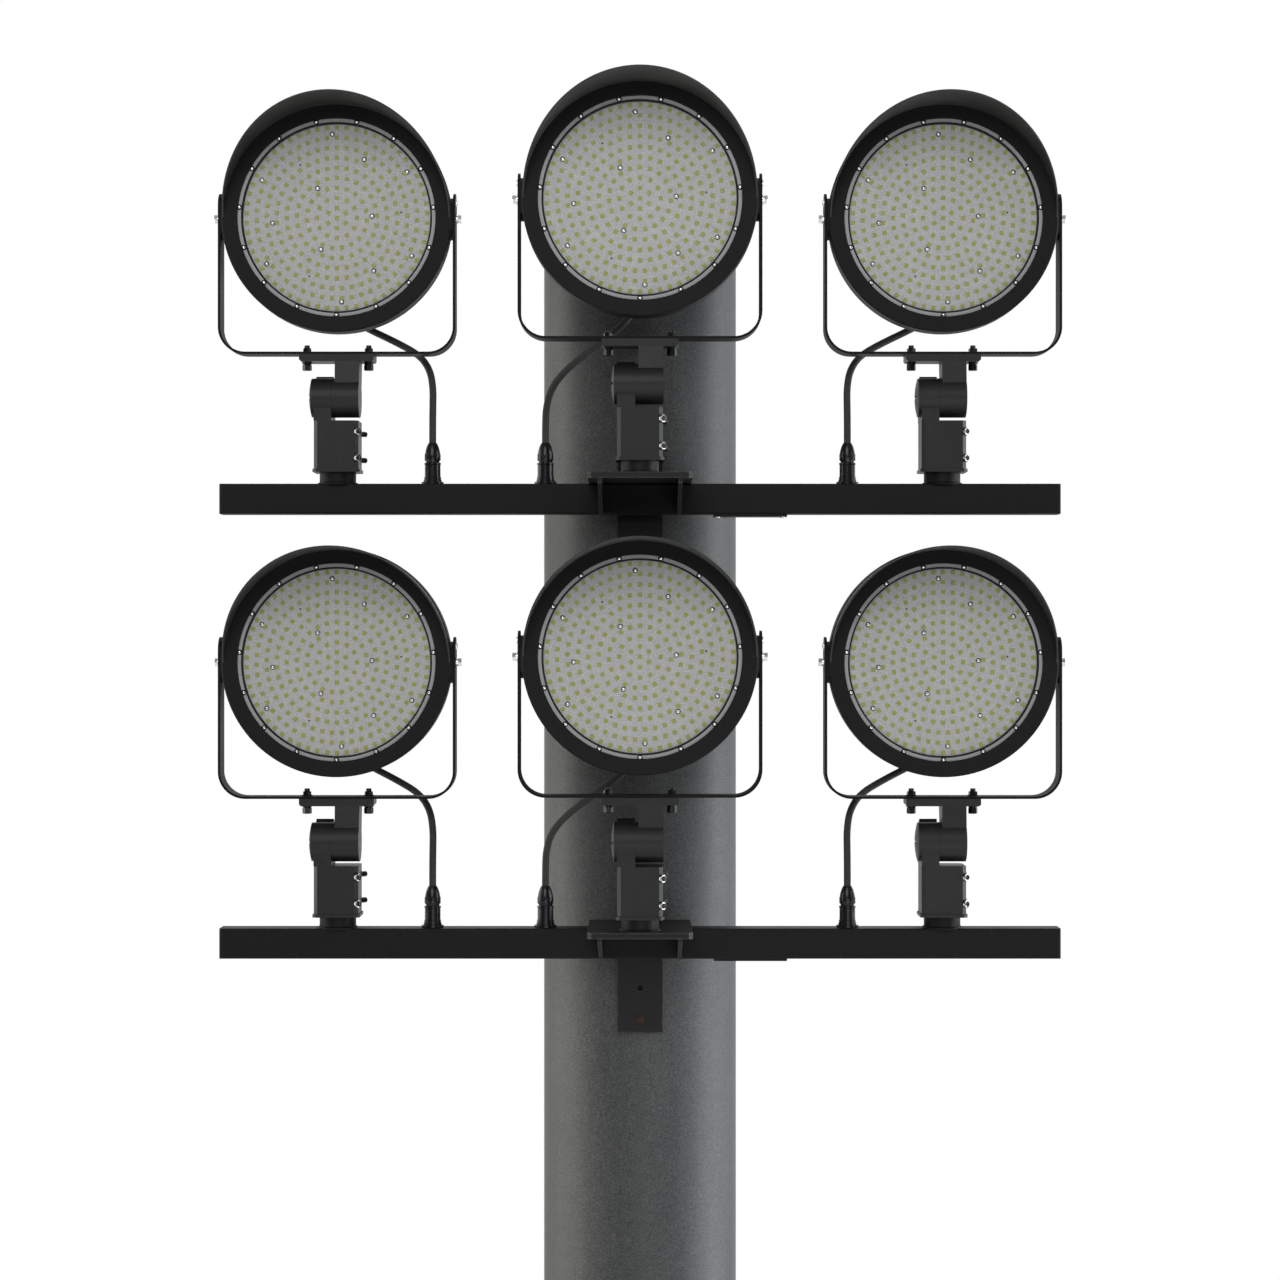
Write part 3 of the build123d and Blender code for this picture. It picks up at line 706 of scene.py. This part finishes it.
begin()
bpy.ops.mesh.primitive_cube_add(size=1, location=(0, 0, CHIP_HEIGHT / 2), scale=(CHIP_SIDE, CHIP_SIDE, CHIP_HEIGHT))
chip = close(edit("chip"))
chip_places = [on_face(0, 90, BOARD_FRONT)]
for ring in range(1, CHIP_RINGS + 1):
    count = int(CHIPS_PER_STEP * ring)
    for index in range(count):
        degrees = 90 + 360 * index / count
        chip_places.append(on_face(RING_STEP * ring, degrees, BOARD_FRONT, roll=degrees))
fit_lamps(chip, "chips", chip_places, "lamp", chip_phosphor)

# %% [markdown]
# Twelve dome screws hold the board, three wire holes show as dark dots, and fifteen screws in black rubber washers
# clamp the ring. A screw this small is a disc with a rounded rim: from the ground only its glint shows.

# %% Screws on the face
BOARD_SCREWS = [(0.1385, 33.2 + 60 * index) for index in range(6)]
BOARD_SCREWS += [(0.1065, degrees) for degrees in (65, 184.5, 304.8)]
BOARD_SCREWS += [(0.0581, degrees) for degrees in (3, 123, 243)]
WIRE_HOLES = [(0.1065, degrees) for degrees in (5, 124.5, 244.6)]
RING_SCREWS = 15
RING_SCREW_RADIUS = 0.1608
board_spots = [on_face(radius, degrees, BOARD_FRONT) for radius, degrees in BOARD_SCREWS]
washer = disc("board_washer", 0.0044, 0, 0.0005, vertices=18)
fit_lamps(washer, "board_washers", board_spots, "lamp", seal_rubber)
screw = disc("board_screw", 0.0033, 0.0004, 0.0024, vertices=16, rim=0.0021, segments=3)
fit_lamps(screw, "board_screws", board_spots, "lamp", stainless)
dot = disc("wire_hole", 0.0017, 0, 0.0002, vertices=12)
hole_spots = [on_face(radius, degrees, BOARD_FRONT) for radius, degrees in WIRE_HOLES]
fit_lamps(dot, "wire_holes", hole_spots, "lamp", seal_rubber)
ring_angles = [270 + 360 * index / RING_SCREWS for index in range(RING_SCREWS)]
ring_spots = [on_face(RING_SCREW_RADIUS, degrees, RING_FRONT) for degrees in ring_angles]
washer = disc("ring_washer", 0.0046, 0, 0.0009, vertices=16, rim=0.0003)
fit_lamps(washer, "ring_washers", ring_spots, "lamp", seal_rubber)
screw = disc("ring_screw", 0.0031, 0.0009, 0.0024, vertices=14, rim=0.0019, segments=3)
fit_lamps(screw, "ring_screws", ring_spots, "lamp", stainless)

# %% [markdown]
# The front glass sits inside the ring on a thin black seal, which reads as a dark line round the board. The glass is
# a flat pane, a thin cylinder, and the seal a torus, because a round cord is what it is.

# %% Front glass and its seal
GLASS_RADIUS = 0.1551
GLASS_THICKNESS = 0.0018
GLASS_MIDDLE = -0.0213
SEAL_RADIUS = 0.1561
SEAL_SIZE = 0.0015
SEAL_MIDDLE = -0.0236
begin()
bpy.ops.mesh.primitive_cylinder_add(
    vertices=96,
    radius=GLASS_RADIUS,
    depth=GLASS_THICKNESS,
    location=(0, GLASS_MIDDLE, PIVOT_RISE),
    rotation=(math.pi / 2, 0, 0),
)
glass = close(edit("glass"))
fit_lamps(glass, "front_glass", [Matrix()], "lamp", lens_clear)
begin()
bpy.ops.mesh.primitive_torus_add(
    major_segments=96,
    minor_segments=8,
    major_radius=SEAL_RADIUS,
    minor_radius=SEAL_SIZE,
    location=(0, SEAL_MIDDLE, PIVOT_RISE),
    rotation=(math.pi / 2, 0, 0),
)
seal = close(edit("seal"), angle=60)
fit_lamps(seal, "glass_seal", [Matrix()], "lamp", seal_rubber)

# %% [markdown]
# Each yoke is bolted to its pad by two M8 bolts, and each head hangs on two more with a spring washer, beside a
# small lock screw. The washers of the pivots stand a hair off the yoke, because they turn with the lamp.

# %% Bolts of the strap
STRAP_BOLT = 0.051
STRAP_TOP = 0.2175
PAD_UNDERSIDE = 0.2015
STRAP_SIDES = (-STRAP_BOLT, STRAP_BOLT)
strap_nut = join(
    "strap_nut",
    disc("washer", 0.0088, 0, 0.0018),
    hexagon("nut", 0.013, 0.0018, 0.0058, rim=0.0011),
    disc("stud", 0.0046, 0.0076, 0.0048, vertices=16, rim=0.0012, segments=2),
)
spots = [at(x, 0, STRAP_TOP) @ turn(12, "Z") for x in STRAP_SIDES]
fit_lamps(strap_nut, "strap_nuts", spots, "bracket", black_zinc)
strap_head = join(
    "strap_head",
    disc("washer", 0.0088, 0, 0.0018),
    disc("spring", 0.0072, 0.0018, 0.0026),
    hexagon("head", 0.0136, 0.0044, 0.0092, rim=0.0012),
)
spots = [at(x, 0, PAD_UNDERSIDE) @ turn(180, "X") @ turn(20, "Z") for x in STRAP_SIDES]
fit_lamps(strap_head, "strap_heads", spots, "bracket", black_zinc)

# %% Bolts of the pivots
YOKE_HALF = 0.1955
LOCK_RISE = 0.027
WASHER_GAP = 0.0003
pivot_bolt = join(
    "pivot_bolt",
    disc("washer", 0.009, WASHER_GAP, 0.0014),
    disc("spring", 0.0068, 0.0017, 0.0019),
    hexagon("head", 0.013, 0.0036, 0.0055),
)
sides = [at(side * YOKE_HALF, 0, PIVOT_RISE) @ turn(side * 90, "Y") for side in (-1, 1)]
fit_lamps(pivot_bolt, "pivot_bolts", sides, "lamp", stainless)
lock_screw = disc("lock_screw", 0.0062, 0, 0.0024, vertices=16, rim=0.0015, segments=3)
lock_screw = socket(lock_screw, 0.0026, 0.0024, 0.0012)
sides = [at(side * YOKE_HALF, 0, PIVOT_RISE + LOCK_RISE) @ turn(side * 90, "Y") for side in (-1, 1)]
fit_lamps(lock_screw, "lock_screws", sides, "bracket", stainless)

# %% [markdown]
# Two cap screws in a front corner of every slip fitter clamp it to its tenon, and two plain ones sit in the corner
# behind. A cap screw shows a bright head, a socket black with shade and a dark shank, so three shapes with three
# finishes are joined, and the copies keep all three. The black disc at the socket's floor is painted shade.

# %% Clamp screws of the slip fitters
CLAMP_HEIGHTS = (0.0418, 0.0853)
CORNER = 0.0337
clamp_screw = disc("clamp_head", 0.0068, 0.0024, 0.0036, vertices=24, rim=0.0016, segments=3)
clamp_screw = socket(clamp_screw, 0.0015, 0.006, 0.0026)
# A black disc at the floor of the socket is painted shade.
socket_shade = disc("socket_shade", 0.0036, 0.0034, 0.0004, vertices=12)
socket_shade.data.materials.append(seal_rubber)
shank = disc("shank", 0.0038, 0, 0.0026, vertices=14)
shank.data.materials.append(black_zinc)
clamp_screw.data.materials.append(clamp_zinc)
clamp_screw = join("clamp_screw", clamp_screw, socket_shade, shank)
corners = [at(CORNER, -CORNER, height) @ turn(-45, "Z") @ turn(90, "Y") for height in CLAMP_HEIGHTS]
fit_lamps(clamp_screw, "clamp_screws", corners, "swivel")
back_screw = disc("back_screw", 0.0046, 0, 0.0125, vertices=20, rim=0.0009, segments=2)
back_screw = socket(back_screw, 0.0014, 0.0125, 0.003)
corners = [at(CORNER, CORNER, height) @ turn(45, "Z") @ turn(90, "Y") for height in CLAMP_HEIGHTS]
fit_lamps(back_screw, "back_screws", corners, "swivel", black_zinc)

# %% [markdown]
# Weld beads are low rings of rubbed-down weld, under the same paint. The three tenons of each row stand in one, and
# so does the column in its base plate. The stiffeners and the bracket have straight beads. Real beads ripple, but
# these are ground and painted, so a torus and a rod with rounded ends, half sunk in the corner, are enough.

# %% Weld beads
def bead_ring(name, radius, size, place, material):
    """A weld bead round a tube, lying on the plate that the tube stands on."""
    begin()
    bpy.ops.mesh.primitive_torus_add(
        major_segments=64, minor_segments=10, major_radius=radius, minor_radius=size, location=place
    )
    return finish_piece(close(edit(name), angle=60), "root", material)


def bead_line(name, start, end, size, material):
    """A straight weld bead between two points, with rounded ends."""
    run = Vector(end) - Vector(start)
    begin()
    bpy.ops.mesh.primitive_cylinder_add(vertices=10, radius=size, depth=run.length, location=(0, 0, run.length / 2))
    piece = edit(name)
    pick_faces(piece, lambda place, normal: abs(normal.z) > 0.9)
    bpy.ops.mesh.bevel(offset=size * 0.6, segments=2)
    close(piece, angle=60)
    piece.data.transform(Matrix.Translation(start) @ run.to_track_quat("Z", "Y").to_matrix().to_4x4())
    return finish_piece(piece, "root", material)


TENON_RADIUS = 0.03015
BASE_TOP = 0.030
STIFFENERS = 8
STIFFENER_SIDE = 0.0072
STIFFENER_LENGTH = 0.074
STIFFENER_HEIGHT = 0.146
SPINE_FRONT = -0.175
SPINE_SIDE = 0.0385
for lamp, place in places.items():
    bead_ring(f"{lamp}_tenon_weld", TENON_RADIUS + 0.0008, 0.0026, place, arm_paint)
bead_ring("column_weld", COLUMN_RADIUS + 0.0015, 0.0048, (0, 0, BASE_TOP), base_zinc)
for index in range(STIFFENERS):
    heading = turn(360 / STIFFENERS * (index + 0.5), "Z")
    for side in (-1, 1):
        y = side * STIFFENER_SIDE
        inner = heading @ Vector((COLUMN_RADIUS + 0.006, y, BASE_TOP))
        outer = heading @ Vector((COLUMN_RADIUS + STIFFENER_LENGTH, y, BASE_TOP))
        bead_line(f"stiffener_foot_weld_{index}_{side + 1}", inner, outer, 0.0032, base_zinc)
        low = heading @ Vector((COLUMN_RADIUS + 0.0012, y, BASE_TOP + 0.006))
        high = heading @ Vector((COLUMN_RADIUS + 0.0012, y, BASE_TOP + STIFFENER_HEIGHT))
        bead_line(f"stiffener_weld_{index}_{side + 1}", low, high, 0.003, base_zinc)
for row, top in arm_tops.items():
    for side in (-1, 1):
        low, high = ((side * SPINE_SIDE, SPINE_FRONT - 0.0002, top - drop_by) for drop_by in (0.048, 0.002))
        bead_line(f"{row}_spine_weld_{side + 1}", low, high, 0.0022, arm_paint)
print(len(places) + 1, "round beads,", 4 * STIFFENERS + 4, "straight ones")

# %% [markdown]
# The foot of the mast is held by four anchor bolts with nuts and plate washers. Round-headed screws hold the cover
# at the back, and each bracket is bolted to the column above and below, beside one open hole. The lower bolt rusts.
# They are made from the same discs and hexagons as the small ones, because only the sizes differ.

# %% Anchor bolts
ANCHOR_RADIUS = 0.270
anchor = join(
    "anchor",
    disc("washer", 0.028, BASE_TOP, 0.004, vertices=32, rim=0.0008),
    hexagon("nut", 0.046, BASE_TOP + 0.004, 0.024, rim=0.0018),
    disc("stud", 0.0148, 0, BASE_TOP + 0.048, vertices=24, rim=0.002),
)
spots = [turn(45 + 90 * index, "Z") @ at(ANCHOR_RADIUS, 0, 0) for index in range(4)]
finish_piece(gather(anchor, "anchor_bolts", spots), "root", bolt_zinc)
drop(anchor)
print(len(spots), "anchor bolts")

# %% Screws of the service cover
COVER_ANGLE = 21.2
COVER_EDGE = 0.012
COVER_FRONT = COLUMN_RADIUS + 0.0033
cover_low, cover_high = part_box("service_cover")
cover_screw = disc("cover_screw", 0.006, -0.0003, 0.0035, vertices=18, rim=0.002, segments=3)
cover_screw = socket(cover_screw, 0.0032, 0.0032, 0.0015)
spots = [
    at(0, 0, z) @ turn(90 + side * COVER_ANGLE, "Z") @ at(COVER_FRONT, 0, 0) @ turn(90, "Y")
    for side in (-1, 1)
    for z in (cover_low.z + COVER_EDGE, (cover_low.z + cover_high.z) / 2, cover_high.z - COVER_EDGE)
]
finish_piece(gather(cover_screw, "cover_screws", spots), "root", stainless)
drop(cover_screw)
print(len(spots), "screws in the service cover")

# %% Bolts of the centre brackets
UPPER_BOLT_RISE = 0.034
LOWER_BOLT_DROP = 0.1555
HOLE_DROP = 0.103
for row, top in arm_tops.items():
    bolt = join(
        f"{row}_spine_upper_bolt",
        disc("washer", 0.0105, 0, 0.002, vertices=24),
        hexagon("head", 0.017, 0.002, 0.0064, rim=0.0008),
    )
    bolt.data.transform(at(0, SPINE_FRONT, top + UPPER_BOLT_RISE) @ turn(90, "X"))
    finish_piece(bolt, "root", black_steel)
    bolt = disc(f"{row}_spine_lower_bolt", 0.0066, 0, 0.0034, vertices=20, rim=0.0024, segments=3)
    bolt.data.transform(at(0, SPINE_FRONT, top - LOWER_BOLT_DROP) @ turn(90, "X"))
    finish_piece(bolt, "root", rust)
    # A dark disc at the bottom of the open hole is painted shade, standing for the depth of the hole.
    painted_shade = disc(f"{row}_hole_shade", 0.0062, 0, 0.0005, vertices=20)
    painted_shade.data.transform(at(0, -COLUMN_RADIUS - 0.0012, top - HOLE_DROP) @ turn(90, "X"))
    finish_piece(painted_shade, "root", seal_rubber)
    print(row, "bracket: upper bolt, rusty lower bolt and the dirt in its open hole")

# %% [markdown]
# The connectors are turned plastic: a stepped flange on the crossarm, a body, a waist and a domed clamping nut,
# ribbed for the hand. A spin of the outline would do too, but drawing a circle up ring by ring keeps the radii and
# heights in one short table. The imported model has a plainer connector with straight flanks, which the turned one
# replaces. The glands under the lamps have a hexagon.

# %% Turned connectors
CONNECTOR_PROFILE = [
    (0.0184, 0.0),
    (0.0184, 0.0038),
    (0.0150, 0.0041),
    (0.0150, 0.0074),
    (0.0141, 0.0077),
    (0.0141, 0.0120),
    (0.0131, 0.0125),
    (0.0130, 0.0318),
    (0.0138, 0.0326),
    (0.0138, 0.0352),
    (0.0112, 0.0359),
    (0.0112, 0.0370),
    (0.0124, 0.0392),
    (0.0130, 0.0440),
    (0.0128, 0.0500),
    (0.0117, 0.0560),
    (0.0103, 0.0612),
    (0.0085, 0.0654),
    (0.0068, 0.0684),
]


def turned(name, profile, vertices=36):
    """A turned shape: a disc at the first (radius, height), drawn up ring by ring to the last."""
    radius, foot = profile[0]
    begin()
    bpy.ops.mesh.primitive_circle_add(vertices=vertices, radius=radius, fill_type="NGON", location=(0, 0, foot))
    piece = edit(name)
    bpy.ops.mesh.select_all(action="SELECT")
    for wide, high in profile[1:]:
        bpy.ops.mesh.extrude_region_move(TRANSFORM_OT_translate={"value": (0, 0, high - foot)})
        bpy.ops.transform.resize(value=(wide / radius, wide / radius, 1))
        radius, foot = wide, high
    return close(piece, angle=32)


CONNECTOR_X = (-0.3432, -0.1565, 0.3432)
connector = turned("connector", CONNECTOR_PROFILE)
for row, top in arm_tops.items():
    piece = gather(connector, f"{row}_connector_bodies", [at(x, ARM_Y, top) for x in CONNECTOR_X])
    finish_piece(piece, "root", connector_plastic)
    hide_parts(f"{row}_connectors")
print("connector", len(connector.data.polygons), "faces")
drop(connector)

# %% Ribs on the connectors
RIB_COUNT = 14
NUT_RADIUS = 0.0126
begin()
bpy.ops.mesh.primitive_cube_add(size=1, location=(NUT_RADIUS, 0, 0.0446), scale=(0.0014, 0.0017, 0.0104))
rib = edit("rib")
pick_edges(rib, lambda place: place.x > NUT_RADIUS)
bpy.ops.mesh.bevel(offset=0.0005, segments=1)
rib = close(rib)
for row, top in arm_tops.items():
    spots = []
    for x in CONNECTOR_X:
        spots += [at(x, ARM_Y, top) @ turn(360 / RIB_COUNT * index, "Z") for index in range(RIB_COUNT)]
    finish_piece(gather(rib, f"{row}_connector_ribs", spots), "root", connector_plastic)
    print(row, "row:", len(spots), "ribs")
drop(rib)

# %% Hexagons on the glands
GLAND_Y = 0.087
GLAND_HEX_FOOT = PIVOT_RISE - 0.0925
gland_hex = hexagon("gland_hex", 0.020, 0, 0.006, rim=0.0008)
spots = [at(0, GLAND_Y, GLAND_HEX_FOOT) @ turn(180, "X")]
fit_lamps(gland_hex, "gland_hex", spots, "lamp", connector_plastic)

# %% [markdown]
# A thin plate under each crossarm covers the opening through which the cables were drawn. Two small domed screws
# hold it, and they hang from its underside.

# %% Screws of the wiring covers
ARM_SIDE = 0.050
COVER_PLATE = 0.004
WIRING_SCREW_X = (0.1285, 0.2355)
cover_feet = [top - ARM_SIDE - COVER_PLATE for top in arm_tops.values()]
screw = disc("wiring_screw", 0.0042, -0.0003, 0.0022, vertices=14, rim=0.0014, segments=2)
spots = [at(x, ARM_Y, foot) @ turn(180, "X") for foot in cover_feet for x in WIRING_SCREW_X]
finish_piece(gather(screw, "wiring_cover_screws", spots), "root", stainless)
drop(screw)
print(len(spots), "screws in the wiring covers")

# %% [markdown]
# The floor is a large pale disc. A white one would clip under the lamps, so it is grey, and where the camera or a
# reflection sees it, a glow lifts it towards white, with the mast's shadow still on it.

# %% Floor
FLOOR_RADIUS = 26.0
FLOOR_GREY = 0.55
FLOOR_GLOW = 0.42
begin()
bpy.ops.mesh.primitive_circle_add(vertices=96, radius=FLOOR_RADIUS, fill_type="NGON", location=(0, 0, cad_low.z))
floor = edit("floor")
bpy.ops.object.mode_set(mode="OBJECT")
material, nodes, links, shader = new_material("floor_white", 0.9, specular=0.1)
shader.inputs["Base Color"].default_value = (FLOOR_GREY, FLOOR_GREY, FLOOR_GREY, 1)
shader.inputs["Emission Color"].default_value = (1, 1, 1, 1)
path = nodes.new("ShaderNodeLightPath")
seen = nodes.new("ShaderNodeMath")
seen.operation = "MAXIMUM"
links.new(path.outputs["Is Camera Ray"], seen.inputs[0])
links.new(path.outputs["Is Glossy Ray"], seen.inputs[1])
glow = nodes.new("ShaderNodeMath")
glow.operation = "MULTIPLY"
glow.inputs[1].default_value = FLOOR_GLOW
links.new(seen.outputs[0], glow.inputs[0])
links.new(glow.outputs[0], shader.inputs["Emission Strength"])
floor.data.materials.append(material)
print("floor", 2 * FLOOR_RADIUS, "m across")

# %% [markdown]
# The background is white. One even world would turn black paint grey, so the world that the surfaces see is white
# behind and beside the mast and darker towards the camera, as in a studio where the lamps stand round the object:
# black paint stays black from the front, and round steel brightens towards its edges.

# %% World
world = bpy.data.worlds.new("studio")
bpy.context.scene.world = world
world.use_nodes = True
nodes, links = world.node_tree.nodes, world.node_tree.links
background = nodes["Background"]
where = nodes.new("ShaderNodeTexCoord")
split = nodes.new("ShaderNodeSeparateXYZ")
links.new(where.outputs["Generated"], split.inputs["Vector"])
depth = nodes.new("ShaderNodeMapRange")
depth.inputs["From Min"].default_value = -0.75
depth.inputs["From Max"].default_value = 0.35
links.new(split.outputs["Y"], depth.inputs["Value"])
shown = ramp(nodes, links, depth.outputs["Result"], [(0.0, grey(0.1)), (0.55, grey(0.55)), (1.0, grey(1.0))])
side = nodes.new("ShaderNodeMapRange")
side.inputs["From Min"].default_value = -1.0
links.new(split.outputs["X"], side.inputs["Value"])
SIDE_TINTS = [(0.0, (0.84, 0.83, 0.77)), (0.5, (0.9, 0.91, 0.92)), (1.0, (1.0, 1.01, 1.05))]
tint = ramp(nodes, links, side.outputs["Result"], SIDE_TINTS)
glossy = mix_colour(nodes, links, 1.0, shown, tint, "MULTIPLY")
path = nodes.new("ShaderNodeLightPath")
mirror = nodes.new("ShaderNodeMath")
mirror.operation = "MAXIMUM"
links.new(path.outputs["Is Glossy Ray"], mirror.inputs[0])
links.new(path.outputs["Is Transmission Ray"], mirror.inputs[1])
AMBIENT = (0.25, 0.25, 0.25)
indirect = mix_colour(nodes, links, mirror.outputs[0], AMBIENT, glossy)
colour = mix_colour(nodes, links, path.outputs["Is Camera Ray"], indirect, (1.0, 1.0, 1.0))
links.new(colour, background.inputs["Color"])
print("world with", len(nodes), "nodes")


# %% [markdown]
# Two tall soft lamps stand at the sides, the warmer and weaker one on the left, as the column's shading shows. Two
# broad ones in front, one high and one low, lift the lamp faces and the undersides. Area lamps give soft shadows,
# which a sun or a point would not.

# %% Lamps
def soft_lamp(name, place, target, size, watts, tint):
    """A tall soft box that looks at a point."""
    bpy.ops.object.light_add(type="AREA", location=place)
    lamp = bpy.context.object
    lamp.name = name
    lamp.data.shape = "RECTANGLE"
    lamp.data.size, lamp.data.size_y = size
    lamp.data.energy = watts
    lamp.data.color = tint
    lamp.rotation_mode = "QUATERNION"
    lamp.rotation_quaternion = (Vector(place) - Vector(target)).to_track_quat("Z", "Y")
    return lamp


begin()
soft_lamp("lamp_left", (-6.0, 0.4, 5.6), (0, 0, 4.6), (4.5, 8.0), 275, (1.0, 0.98, 0.9))
soft_lamp("lamp_right", (6.0, 0.2, 5.6), (0, 0, 4.6), (4.5, 8.0), 450, (0.94, 0.97, 1.0))
soft_lamp("lamp_front", (-1.0, -8.0, 11.2), (0, 0, 6.5), (5.0, 5.0), 220, (0.98, 1.0, 1.0))
soft_lamp("lamp_low", (1.5, -9.0, 4.4), (0, 0, 7.2), (5.0, 4.0), 115, (0.98, 1.0, 1.0))
bpy.context.scene.view_settings.view_transform = "Standard"
